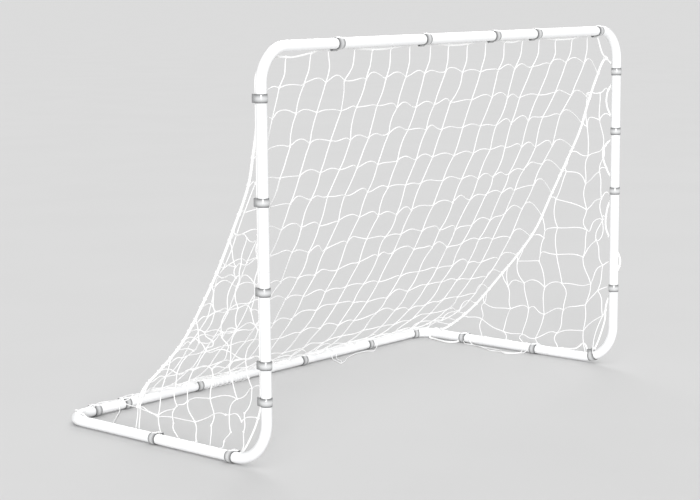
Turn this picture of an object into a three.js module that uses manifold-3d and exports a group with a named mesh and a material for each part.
// Small portable soccer goal frame: a bolt-free steel tube arch with a ground frame behind it,
// snap-button slip joints, clip-on net clips and a hanging net.
// Millimetres, +Z up. The origin is on the ground, in the middle of the footprint, and the mouth
// faces -Y. Inside the group, the mouth's plane is y = 0, the ground frame reaches to +Y, and
// right is +X.
import * as THREE from 'three';
import { mergeVertices } from 'three/addons/utils/BufferGeometryUtils.js';
import Module from 'manifold-3d';

const manifold = await Module();
manifold.setup();

const vec = (x, y, z) => new THREE.Vector3(x, y, z);
const rad = THREE.MathUtils.degToRad;
const RIGHT = vec(1, 0, 0);
const LEFT = vec(-1, 0, 0);
const REARWARD = vec(0, 1, 0);
const FORWARD = vec(0, -1, 0);
const UP = vec(0, 0, 1);
const DOWN = vec(0, 0, -1);
const SIDES = [['left', -1], ['right', 1]];   // name, sign of x

// ---------- driving dimensions ----------
const OUTER_WIDTH = 1828.8;        // 6 ft over the posts
const OUTER_HEIGHT = 1219.2;       // 4 ft to the top of the crossbar tube
const OUTER_DEPTH = 914.4;         // 3 ft over the tubes, front to back
const TUBE_R = 15.875;             // 1.25 in tube
const WALL = 1.2;
const GROUND_GAP = 2.875;          // the net clips hold the ground tubes this far up
const TOP_BEND_R = 101.6;
const FOOT_BEND_R = 127;
const REAR_BEND_R = 76.2;
const TUBE_FACETS = 20;

// ---------- derived ----------
const POST_X = OUTER_WIDTH / 2 - TUBE_R;        // post axis
const REAR_Y = OUTER_DEPTH - 2 * TUBE_R;        // rear bar axis
const GROUND_Z = TUBE_R + GROUND_GAP;           // ground tube axis
const TOP_Z = OUTER_HEIGHT - TUBE_R;            // crossbar axis

const goal = new THREE.Group();

// ---------- finishes ----------
const finish = (look) => new THREE.MeshStandardMaterial(look);
const white = () => finish({ color: 0xf4f5f5, roughness: 0.38, metalness: 0.0 });
const grey = () => finish({ color: 0x8f9193, roughness: 0.3, metalness: 0.0 });
const steel = () => finish({ color: 0xb9bcc0, roughness: 0.25, metalness: 1.0 });
const cord = () => finish({ color: 0xf2f2f0, roughness: 0.85, metalness: 0.0 });

// ---------- solids ----------
// Welds a closed geometry into a solid, and turns its faces over if they point inwards.
function toSolid(geometry) {
  const bare = geometry.clone();
  bare.deleteAttribute('normal');
  bare.deleteAttribute('uv');
  const merged = mergeVertices(bare, 1e-4);
  const vertProperties = Float32Array.from(merged.attributes.position.array);
  const index = merged.index.array;
  const faces = [];
  const flipped = [];
  for (let i = 0; i < index.length; i += 3) {
    const [a, b, c] = [index[i], index[i + 1], index[i + 2]];
    if (a === b || b === c || c === a) continue;
    faces.push(a, b, c);
    flipped.push(a, c, b);
  }
  const make = (corners) => new manifold.Manifold(new manifold.Mesh({
    numProp: 3, vertProperties, triVerts: Uint32Array.from(corners),
  }));
  const solid = make(faces);
  return solid.volume() > 0 ? solid : make(flipped);
}

function toGeometry(solid) {
  const { vertProperties, triVerts } = solid.getMesh();
  const geometry = new THREE.BufferGeometry();
  geometry.setAttribute('position',
    new THREE.BufferAttribute(Float32Array.from(vertProperties), 3));
  geometry.setIndex(Array.from(triVerts));
  geometry.computeVertexNormals();
  return geometry;
}

function add(name, solid, material) {
  const mesh = new THREE.Mesh(toGeometry(solid), material);
  mesh.name = name;
  goal.add(mesh);
}

// A path given by its stations: each has a place and a direction.
class StationCurve extends THREE.Curve {
  constructor(stations) {
    super();
    this.stations = stations;
  }

  stationAt(u) {
    return this.stations[Math.round(u * (this.stations.length - 1))];
  }

  getPointAt(u, target = new THREE.Vector3()) {
    return target.copy(this.stationAt(u).place);
  }

  getTangentAt(u, target = new THREE.Vector3()) {
    return target.copy(this.stationAt(u).dir);
  }
}

function ringShape(radius, facets) {
  const points = [];
  for (let i = 0; i < facets; i++) {
    const angle = ((i + 0.5) / facets) * 2 * Math.PI;
    points.push(new THREE.Vector2(radius * Math.cos(angle), radius * Math.sin(angle)));
  }
  return new THREE.Shape(points);
}

function sweep(stations, radius, facets = TUBE_FACETS) {
  return toSolid(new THREE.ExtrudeGeometry(ringShape(radius, facets), {
    steps: stations.length - 1,
    bevelEnabled: false,
    extrudePath: new StationCurve(stations),
  }));
}

// A body of revolution standing on `place` and pointing along `dir`;
// the profile is [radius, height] pairs.
function revolve(profile, place, dir, facets = TUBE_FACETS) {
  const points = profile.map(([radius, height]) => new THREE.Vector2(radius, height));
  const geometry = new THREE.LatheGeometry(points, facets);
  geometry.rotateY(Math.PI / facets);
  geometry.applyQuaternion(new THREE.Quaternion().setFromUnitVectors(vec(0, 1, 0), dir));
  geometry.translate(place.x, place.y, place.z);
  return toSolid(geometry);
}

// A flat shape given a depth, centred on `place`. The shape's x and y run along the two
// directions, and the depth along `depthDir`.
function plate(shape, depth, place, xDir, yDir, depthDir) {
  const geometry = new THREE.ExtrudeGeometry(shape, { depth, bevelEnabled: false });
  geometry.translate(0, 0, -depth / 2);
  geometry.applyMatrix4(new THREE.Matrix4().makeBasis(xDir, yDir, depthDir).setPosition(place));
  return toSolid(geometry);
}

// Stations from start, round a bend at `corner`, to end. `angles` are the bend's sections.
function bent(start, corner, end, radius, angles) {
  const dirIn = corner.clone().sub(start).normalize();
  const dirOut = end.clone().sub(corner).normalize();
  const centre = corner.clone().addScaledVector(dirIn, -radius).addScaledVector(dirOut, radius);
  const bend = angles.map((degrees) => {
    const sin = Math.sin(rad(degrees));
    const cos = Math.cos(rad(degrees));
    return {
      place: centre.clone().addScaledVector(dirOut, -radius * cos)
        .addScaledVector(dirIn, radius * sin),
      dir: dirIn.clone().multiplyScalar(cos).addScaledVector(dirOut, sin),
    };
  });
  return [{ place: start, dir: dirIn }, ...bend, { place: end, dir: dirOut }];
}

// ---------- slip joints ----------
const SEAM_X = 350;                // seams of crossbar and rear bar, each side of the middle
const SEAM_Z = 575;                // seams of the posts
const SEAM_Y = 410;                // seams of the side rails
const SEAM_GAP = 1.4;
const BUTTON_AT = 30;              // from the seam to the snap button

// Seam place, direction the swaged male end points, and the button's outward direction.
const SLIPS = {};
const addSlips = (bar, place) => {
  for (const [side, sign] of SIDES) SLIPS[`${bar}_${side}`] = place(sign);
};
addSlips('crossbar', (sign) => (
  { seam: vec(sign * SEAM_X, 0, TOP_Z), male: vec(sign, 0, 0), out: REARWARD }));
addSlips('post', (sign) => ({ seam: vec(sign * POST_X, 0, SEAM_Z), male: UP, out: REARWARD }));
addSlips('rail', (sign) => (
  { seam: vec(sign * POST_X, SEAM_Y, GROUND_Z), male: FORWARD, out: DOWN }));
addSlips('rear', (sign) => (
  { seam: vec(sign * SEAM_X, REAR_Y, GROUND_Z), male: vec(sign, 0, 0), out: REARWARD }));

const alongSlip = (key, distance) => (
  SLIPS[key].seam.clone().addScaledVector(SLIPS[key].male, distance));
const shoulder = (key) => alongSlip(key, -SEAM_GAP / 2);    // of the male tube
const socketEnd = (key) => alongSlip(key, SEAM_GAP / 2);    // of the female tube
const buttonPlace = (key) => alongSlip(key, BUTTON_AT);

// ---------- tubes ----------
const BORE_R = TUBE_R - WALL;
const BORE_OVERRUN = 2;            // the bore is cut this far past an open end
const SWAGE_R = 14.2;              // swaged male end
const SWAGE_BORE = 13.0;
const SWAGE_TAPER = 1.0;
const SWAGE_LEN = 60;
const BUTTON_HOLE_R = 4.25;
const BUTTON_FACETS = 12;

// [radius, distance past the shoulder]
const SWAGE_OUTSIDE = [
  [0, -5], [14.9, -5], [15.5, 0], [SWAGE_R, SWAGE_TAPER], [SWAGE_R, SWAGE_LEN - 2],
  [SWAGE_R - 0.5, SWAGE_LEN], [0, SWAGE_LEN],
];
const SWAGE_INSIDE = [
  [0, -5], [14.3, -5], [14.3, 0.01], [SWAGE_BORE, SWAGE_TAPER],
  [SWAGE_BORE, SWAGE_LEN + BORE_OVERRUN], [0, SWAGE_LEN + BORE_OVERRUN],
];
// [radius, distance from the tube axis]
const BUTTON_HOLE = [[0, 6], [BUTTON_HOLE_R, 6], [BUTTON_HOLE_R, 24], [0, 24]];

// Two clips sit on bends on the right: one on the foot bend, at this angle from the rail's end,
// and one on the rear bend, from the rear bar's end. The bend is straight under each clip, for
// the half angle to each side of it.
const FOOT_CLIP_ANGLE = 19.3;
const FOOT_CLIP_HALF = 8;
const REAR_CLIP_ANGLE = 21.3;
const REAR_CLIP_HALF = 10.8;

// Section angles of the bends, in degrees from the bend's start.
const EVEN_ANGLES = [0, 15, 30, 45, 60, 75, 90];
const FOOT_ANGLES = {
  left: EVEN_ANGLES,
  right: [0, 15.7, 31.4, 47.1,
    90 - FOOT_CLIP_ANGLE - FOOT_CLIP_HALF, 90 - FOOT_CLIP_ANGLE + FOOT_CLIP_HALF, 90],
};
const REAR_ANGLES = {
  left: [0, 18, 36, 54, 72, 90],
  right: [0, 18, 35.7,
    90 - REAR_CLIP_ANGLE - REAR_CLIP_HALF, 90 - REAR_CLIP_ANGLE + REAR_CLIP_HALF, 90],
};

// A tube, open right through, with swaged ends where asked and a button hole for each slip joint.
function tube(stations, { startSwaged = false, endSwaged = false, slips }) {
  const boreStations = stations.map(({ place, dir }) => ({ place: place.clone(), dir }));
  const swages = [];
  for (const [index, sign, swaged] of [[0, -1, startSwaged], [-1, 1, endSwaged]]) {
    const { place, dir } = stations.at(index);
    const outward = dir.clone().multiplyScalar(sign);
    if (swaged) swages.push([place, outward]);
    else boreStations.at(index).place.addScaledVector(outward, BORE_OVERRUN);
  }
  let outside = sweep(stations, TUBE_R);
  let bore = sweep(boreStations, BORE_R);
  for (const [place, outward] of swages) {
    outside = outside.add(revolve(SWAGE_OUTSIDE, place, outward));
    bore = bore.add(revolve(SWAGE_INSIDE, place, outward));
  }
  let solid = outside.subtract(bore);
  for (const key of slips) {
    solid = solid.subtract(revolve(BUTTON_HOLE, buttonPlace(key), SLIPS[key].out, BUTTON_FACETS));
  }
  return solid;
}

function addCorners(side, sign) {
  const [crossbar, post, rail, rear] = ['crossbar', 'post', 'rail', 'rear']
    .map((bar) => `${bar}_${side}`);
  const x = sign * POST_X;
  const top = bent(socketEnd(post), vec(x, 0, TOP_Z), socketEnd(crossbar),
    TOP_BEND_R, EVEN_ANGLES);
  add(`top_${side}_corner`, tube(top, { slips: [post, crossbar] }), white());
  const bottom = bent(shoulder(post), vec(x, 0, GROUND_Z), socketEnd(rail),
    FOOT_BEND_R, FOOT_ANGLES[side]);
  add(`bottom_${side}_corner`, tube(bottom, { startSwaged: true, slips: [post, rail] }), white());
  const back = bent(shoulder(rail), vec(x, REAR_Y, GROUND_Z), socketEnd(rear),
    REAR_BEND_R, REAR_ANGLES[side]);
  add(`rear_${side}_corner`, tube(back, { startSwaged: true, slips: [rail, rear] }), white());
}

// The straight middle tube between a bar's two slip joints.
function addCenter(name, bar) {
  const slips = [`${bar}_left`, `${bar}_right`];
  const stations = slips.map((key) => ({ place: shoulder(key), dir: RIGHT }));
  add(name, tube(stations, { startSwaged: true, endSwaged: true, slips }), white());
}

for (const [side, sign] of SIDES) addCorners(side, sign);
addCenter('crossbar_center', 'crossbar');
addCenter('rear_bar_center', 'rear');

// ---------- snap buttons and the leaf springs behind them ----------
const BUTTON_R = 3.7;
const BUTTON_FLANGE_R = 5.2;
const BUTTON_TOP = TUBE_R + 2.5;   // from the tube axis
const SPRING_T = 0.7;
const SPRING_WIDTH = 6;

// [radius, distance from the tube axis]
const BUTTON_PROFILE = [
  [0, 9.85], [BUTTON_FLANGE_R, 9.85], [BUTTON_FLANGE_R, 11.1], [BUTTON_R, 11.1],
  [BUTTON_R, 16.7], [2.5, 18.0], [0, BUTTON_TOP],
];
// Spring strip seen from the side: [distance from the button in the male end's direction,
// distance from the tube axis towards the button].
const SPRING_LINE = [
  [6, -11.7], [-28, -11.7], [-31.5, -10.6], [-33, -8.2],
  [-31.5, -5.8], [-8, 8.7], [-4, 9.1], [5.5, 9.1],
];

function stripShape(line, thickness) {
  const points = line.map(([x, y]) => new THREE.Vector2(x, y));
  const offset = (distance) => points.map((point, i) => {
    const before = points[Math.max(i - 1, 0)];
    const after = points[Math.min(i + 1, points.length - 1)];
    const dir = after.clone().sub(before).normalize();
    return new THREE.Vector2(point.x - dir.y * distance, point.y + dir.x * distance);
  });
  return new THREE.Shape([...offset(thickness / 2), ...offset(-thickness / 2).reverse()]);
}

function addButton(key) {
  const { male, out } = SLIPS[key];
  const place = buttonPlace(key);
  add(`snap_button_${key}`, revolve(BUTTON_PROFILE, place, out, BUTTON_FACETS), steel());
  const across = male.clone().cross(out);
  const strip = stripShape(SPRING_LINE, SPRING_T);
  add(`button_spring_${key}`, plate(strip, SPRING_WIDTH, place, male, out, across), steel());
}
Object.keys(SLIPS).forEach(addButton);

// ---------- net clips ----------
const CLIP_LEN = 25.4;
const CLIP_BORE = 16.6;
const CLIP_FACETS = 15;
const CLIP_MOUTH = 35;             // half of the open angle, degrees
const CLIP_STEP = (360 - 2 * CLIP_MOUTH) / CLIP_FACETS;
const CLIP_R = GROUND_Z / Math.cos(rad(CLIP_STEP / 2));    // its flat facets reach the ground
const EYE_R = 22.4;                // from the tube axis to the rope in the clip's eye

// One side of the hooked eye, from outside in: [across the mouth, out from the tube axis].
const CLIP_LIP = [[10.9, 26.6], [9.6, 28.4], [2.0, 28.4], [2.0, 26.2], [8.5, 26.2], [8.5, 16.2]];

// The section looks along the tube: a C that grips the tube, with a hooked eye for the rope
// over its mouth.
function clipShape() {
  const arc = (radius) => Array.from({ length: CLIP_FACETS + 1 }, (_, i) => {
    const angle = rad(CLIP_MOUTH + i * CLIP_STEP);
    return [radius * Math.sin(angle), radius * Math.cos(angle)];
  });
  const points = [
    ...arc(CLIP_R),
    ...CLIP_LIP.map(([x, y]) => [-x, y]),
    ...arc(CLIP_BORE).reverse(),
    ...CLIP_LIP.slice().reverse(),
  ];
  return new THREE.Shape(points.map(([x, y]) => new THREE.Vector2(x, y)));
}
const CLIP_SHAPE = clipShape();

const eyes = {};                   // rope place in each clip's eye, by the clip's name
function addClip(name, place, along, toEye) {
  const across = toEye.clone().cross(along);
  add(`clip_${name}`, plate(CLIP_SHAPE, CLIP_LEN, place, across, toEye, along), grey());
  eyes[name] = place.clone().addScaledVector(toEye, EYE_R);
}
function addClipRow(row, firstNumber, distances, placeAt, along, toEye) {
  distances.forEach((distance, i) => (
    addClip(`${row}_${firstNumber + i}`, placeAt(distance), along, toEye)));
}

const turn = (from, towards, degrees) => from.clone().multiplyScalar(Math.cos(rad(degrees)))
  .addScaledVector(towards, Math.sin(rad(degrees)));
// On the ground tubes the eye is turned four facets from the top, which keeps one flat facet down.
const groundEye = (towards) => turn(UP, towards, 4 * CLIP_STEP);

// the tube's direction under the two clips on bends
const FOOT_CLIP_ALONG = turn(REARWARD, DOWN, FOOT_CLIP_ANGLE);
const REAR_CLIP_ALONG = turn(RIGHT, FORWARD, REAR_CLIP_ANGLE);

function addFootBendClip() {
  const inward = turn(UP, REARWARD, FOOT_CLIP_ANGLE);       // towards the bend's centre
  const reach = FOOT_BEND_R * Math.cos(rad(FOOT_CLIP_HALF));
  const place = vec(POST_X, FOOT_BEND_R, GROUND_Z + FOOT_BEND_R).addScaledVector(inward, -reach);
  addClip('right_rail_1', place, FOOT_CLIP_ALONG, inward);
}

function addRearBendClip() {
  const outward = turn(REARWARD, RIGHT, REAR_CLIP_ANGLE);   // away from the bend's centre
  const reach = REAR_BEND_R * Math.cos(rad(REAR_CLIP_HALF));
  const place = vec(POST_X - REAR_BEND_R, REAR_Y - REAR_BEND_R, GROUND_Z)
    .addScaledVector(outward, reach);
  addClip('rear_bar_6', place, REAR_CLIP_ALONG, groundEye(outward));
}

addClipRow('crossbar', 1, [-575, -172, 182, 411, 781],
  (x) => vec(x, 0, TOP_Z), RIGHT, turn(REARWARD, UP, -32));
addClipRow('left_post', 1, [1062, 772, 518, 308, 202],
  (z) => vec(-POST_X, 0, z), UP, REARWARD);
addClipRow('right_post', 1, [1058, 848, 636, 285],
  (z) => vec(POST_X, 0, z), UP, turn(REARWARD, RIGHT, 62));
addClipRow('left_rail', 1, [146, 472],
  (y) => vec(-POST_X, y, GROUND_Z), REARWARD, groundEye(RIGHT));
addFootBendClip();
addClipRow('right_rail', 2, [345, 675],
  (y) => vec(POST_X, y, GROUND_Z), REARWARD, groundEye(RIGHT));
addClipRow('rear_bar', 1, [-776, -648, -319, 208, 579],
  (x) => vec(x, REAR_Y, GROUND_Z), RIGHT, groundEye(REARWARD));
addRearBendClip();

// ---------- border rope ----------
const ROPE_R = 2.75;
const ROPE_FACETS = 6;
const EYE_RUN = 15;                // the rope is straight this far each side of an eye
const REAR_BEND_ROPE_R = 97;       // rope round the rear right bend, from the bend's centre
const REAR_BEND_ROPE_RISE = 12;    // above the tube axis

// Where the slack rope hangs before each right post clip, from the top: [x, y, z].
// The side net pulls it in behind the tube, and once out beside it.
const RIGHT_POST_SLACK = [
  [[845, 24, 1122], [884, 28, 1099], [904, 25, 1086]],
  [[888, 29, 985], [889, 31, 935]],
  [[889, 37, 795], [884, 42, 758], [893, 28, 705]],
  [[908, 23, 600], [892, 25, 575], [889, 31, 528], [893, 30, 495], [911, 22, 455],
    [924, 6, 420], [928, -5, 380], [922, 6, 325]],
];
// and before and after the clip on the foot bend
const FOOT_SLACK_BEFORE = [[904, 24, 246], [892, 28, 212], [898, 35, 165]];
const FOOT_SLACK_AFTER = [[899, 119, 58], [900, 136, 59], [905, 160, 48], [915, 198, 36]];

function ropeSolid(points, radius) {
  const stations = points.map((place, i) => {
    const dirs = [];
    if (i > 0) dirs.push(place.clone().sub(points[i - 1]).normalize());
    if (i < points.length - 1) dirs.push(points[i + 1].clone().sub(place).normalize());
    const dir = dirs.length === 1 ? dirs[0] : dirs[0].add(dirs[1]).normalize();
    return { place, dir };
  });
  return sweep(stations, radius, ROPE_FACETS);
}

// From the left rail's front clip, round the mouth, back along the right rail and the rear bar,
// to end beside its start. It runs slack between the clips.
function borderPath() {
  const path = [];
  const through = (name, along) => {
    for (const run of [-EYE_RUN, EYE_RUN]) path.push(eyes[name].clone().addScaledVector(along, run));
  };
  // halfway to each clip the rope is off the straight line by `slack`
  const slackThrough = (row, numbers, along, slack) => {
    for (const number of numbers) {
      const name = `${row}_${number}`;
      path.push(path.at(-1).clone().lerp(eyes[name], 0.5).add(slack));
      through(name, along);
    }
  };
  const pass = (table) => path.push(...table.map(([x, y, z]) => vec(x, y, z)));

  // up the left post
  through('left_rail_1', FORWARD);
  path.push(vec(-POST_X + 9, 60, 110));
  through('left_post_5', UP);
  slackThrough('left_post', [4, 3, 2, 1], UP, vec(4, 3, 0));

  // along the crossbar
  path.push(vec(-POST_X + 14, 30, 1130), vec(-POST_X + 60, 26, TOP_Z - 34));
  path.push(vec(-740, 22, TOP_Z - 34));
  through('crossbar_1', RIGHT);
  slackThrough('crossbar', [2, 3, 4, 5], RIGHT, vec(0, 0, -13));

  // down the right post
  RIGHT_POST_SLACK.forEach((slackPoints, i) => {
    pass(slackPoints);
    through(`right_post_${i + 1}`, DOWN);
  });

  // round the foot bend and back along the right rail
  pass(FOOT_SLACK_BEFORE);
  through('right_rail_1', FOOT_CLIP_ALONG);
  pass(FOOT_SLACK_AFTER);
  through('right_rail_2', REARWARD);
  slackThrough('right_rail', [3], REARWARD, vec(3, 0, 3));

  // round the outside of the rear right bend
  for (const degrees of [80, 62, 44]) {
    path.push(vec(
      POST_X - REAR_BEND_R + REAR_BEND_ROPE_R * Math.sin(rad(degrees)),
      REAR_Y - REAR_BEND_R + REAR_BEND_ROPE_R * Math.cos(rad(degrees)),
      GROUND_Z + REAR_BEND_ROPE_RISE));
  }
  through('rear_bar_6', REAR_CLIP_ALONG.clone().negate());
  slackThrough('rear_bar', [5, 4, 3, 2, 1], LEFT, vec(0, 4, 1));

  // over the tube at the rear left bend, from the outside of the rear bar to the inside of
  // the left rail
  path.push(vec(-815, REAR_Y + 8, GROUND_Z + 23), vec(-858, REAR_Y - 45, GROUND_Z + 24));
  path.push(vec(-POST_X + 20, REAR_Y - 115, GROUND_Z + 17));
  through('left_rail_2', FORWARD);
  path.push(eyes.left_rail_1.clone().addScaledVector(REARWARD, 22));
  return path;
}
add('border_rope', ropeSolid(borderPath(), ROPE_R), cord());

// ---------- seam ropes ----------
const SEAM_ROPE_R = 3.6;
const SEAM_ROPE_STEPS = 14;

// They join the back panel to the side panels. The net's pull bows them inwards. [x, y, z]
const SEAM_LINES = {
  left: [
    [-866, 44, 1108], [-848, 62, 1050], [-836, 82, 975], [-828, 106, 888], [-824, 126, 816],
    [-822, 152, 757], [-823, 182, 697], [-826, 234, 591], [-830, 274, 514], [-834, 322, 434],
    [-838, 362, 369], [-844, 410, 302], [-854, 484, 224], [-868, 562, 152], [-874, 625, 115],
    [-880, 700, 86],
  ],
  right: [
    [838, 31, 1112], [864, 46, 1080], [866, 60, 1040], [864, 92, 955], [862, 127, 846],
    [858, 184, 727], [852, 245, 614], [846, 323, 474], [844, 402, 376], [846, 480, 293],
    [856, 585, 187], [866, 668, 112], [876, 735, 76],
  ],
};
const toCurve = (table) => (
  new THREE.CatmullRomCurve3(table.map(([x, y, z]) => vec(x, y, z)), false, 'centripetal'));
const seams = { left: toCurve(SEAM_LINES.left), right: toCurve(SEAM_LINES.right) };

for (const [side] of SIDES) {
  const points = seams[side].getSpacedPoints(SEAM_ROPE_STEPS);
  add(`seam_rope_${side}`, ropeSolid(points, SEAM_ROPE_R), cord());
}

// ---------- net panels, as thin closed sheets ----------
const NET_T = 2.2;
const SEAM_LOW_Z = 92;             // the panels follow the seam ropes down to here
const SEAM_HIGH_Z = 1090;          // and the back panel up to here
const BACK_SEAM_GAP = 14;          // back panel's edge to the seam rope's axis
const SIDE_SEAM_GAP = 12;          // the same for the side panels
const SIDE_INSET = 8;              // side panel's front edge, inboard of the post axis
const SIDE_FRONT_Y = 42;
const SIDE_REAR_Y = 660;           // the seam's y counts no further back than this
const SIDE_FOOT_Z = 66;
const SIDE_TOP_Z = { left: 800, right: 985 };

// The net's fall from the crossbar to the rear bar, the same all across the goal: [y, z].
const FALL = [
  [18, 1160], [20, 1138], [30, 1083], [56, 1012], [82, 950], [105, 893], [130, 825], [162, 755],
  [188, 705], [216, 645], [252, 578], [280, 530], [312, 470], [350, 409], [390, 347], [435, 285],
  [475, 240], [522, 190], [590, 140], [680, 98], [770, 70], [838, 56],
];
const fall = toCurve(FALL.map(([y, z]) => [0, y, z]));

// A grid moved on to a surface and given a thickness: surface(u, v) is the sheet's middle,
// and both faces share its triangles.
function sheet(cellsU, cellsV, surface) {
  const plane = new THREE.PlaneGeometry(1, 1, cellsU, cellsV);
  const grid = plane.attributes.position;
  const cells = plane.index.array;
  const count = grid.count;
  const step = 1e-3;               // for the surface's slopes
  const positions = new Float32Array(count * 6);
  for (let i = 0; i < count; i++) {
    const u = grid.getX(i) + 0.5;
    const v = grid.getY(i) + 0.5;
    const slopeU = surface(Math.min(u + step, 1), v).sub(surface(Math.max(u - step, 0), v));
    const slopeV = surface(u, Math.min(v + step, 1)).sub(surface(u, Math.max(v - step, 0)));
    const half = slopeU.cross(slopeV).setLength(NET_T / 2);
    surface(u, v).add(half).toArray(positions, 3 * i);
    surface(u, v).sub(half).toArray(positions, 3 * (count + i));
  }
  const triangles = [];
  const rim = new Map();           // edges that belong to one triangle only
  for (let i = 0; i < cells.length; i += 3) {
    const [a, b, c] = [cells[i], cells[i + 1], cells[i + 2]];
    triangles.push(a, b, c, count + a, count + c, count + b);
    for (const [from, to] of [[a, b], [b, c], [c, a]]) {
      if (!rim.delete(`${to},${from}`)) rim.set(`${from},${to}`, [from, to]);
    }
  }
  for (const [from, to] of rim.values()) {
    triangles.push(to, from, count + from, to, count + from, count + to);
  }
  const geometry = new THREE.BufferGeometry();
  geometry.setAttribute('position', new THREE.BufferAttribute(positions, 3));
  geometry.setIndex(triangles);
  return toSolid(geometry);
}

// The curve's point at a height; height falls along the curve.
function atHeight(curve, z) {
  let low = 0;
  let high = 1;
  for (let i = 0; i < 40; i++) {
    const middle = (low + high) / 2;
    if (curve.getPoint(middle).z > z) low = middle;
    else high = middle;
  }
  return curve.getPoint((low + high) / 2);
}

// u runs from left to right, v from the top down.
function backSurface(u, v) {
  const { y, z } = fall.getPointAt(v);
  const seamZ = THREE.MathUtils.clamp(z, SEAM_LOW_Z, SEAM_HIGH_Z);
  const left = atHeight(seams.left, seamZ);
  const right = atHeight(seams.right, seamZ);
  const inset = BACK_SEAM_GAP + Math.max(z - 1060, 0) * 0.35;   // narrower near the top
  const leftX = left.x + inset;
  const rightX = right.x - inset;
  // the sheet leaves its own fall for the seam ropes near its sides, but not at top and bottom
  const edge = Math.abs(2 * u - 1) ** 4;
  const aboveFoot = THREE.MathUtils.smoothstep(z, 70, 110);
  const belowTop = 1 - THREE.MathUtils.smoothstep(z, 1040, SEAM_HIGH_Z);
  const seamY = (u < 0.5 ? left : right).y;
  return vec(leftX + (rightX - leftX) * u, y + edge * (seamY - y) * aboveFoot * belowTop, z);
}

// u runs from front to back, v from the foot up.
function sideSurface(side, sign, u, v) {
  const z = SIDE_FOOT_Z + (SIDE_TOP_Z[side] - SIDE_FOOT_Z) * v;
  const seam = atHeight(seams[side], Math.max(z, SEAM_LOW_Z));
  const frontY = SIDE_FRONT_Y + Math.max(150 - z, 0) * 0.65;    // further back near the foot
  const rearY = Math.min(seam.y, SIDE_REAR_Y) - SIDE_SEAM_GAP;
  const frontX = POST_X - SIDE_INSET;
  // drawn in to just short of the seam rope, and less so in the lowest 60 mm
  const bow = 0.96 * (frontX - Math.abs(seam.x)) * u * Math.min((z - SIDE_FOOT_Z) / 60, 1);
  return vec(sign * (frontX - bow), frontY + (rearY - frontY) * u, z);
}

add('net_back_panel', sheet(8, 16, backSurface), cord());
for (const [side, sign] of SIDES) {
  add(`net_side_${side}`, sheet(3, 8, (u, v) => sideSurface(side, sign, u, v)), cord());
}

goal.position.set(0, -REAR_Y / 2, 0);

export default goal;
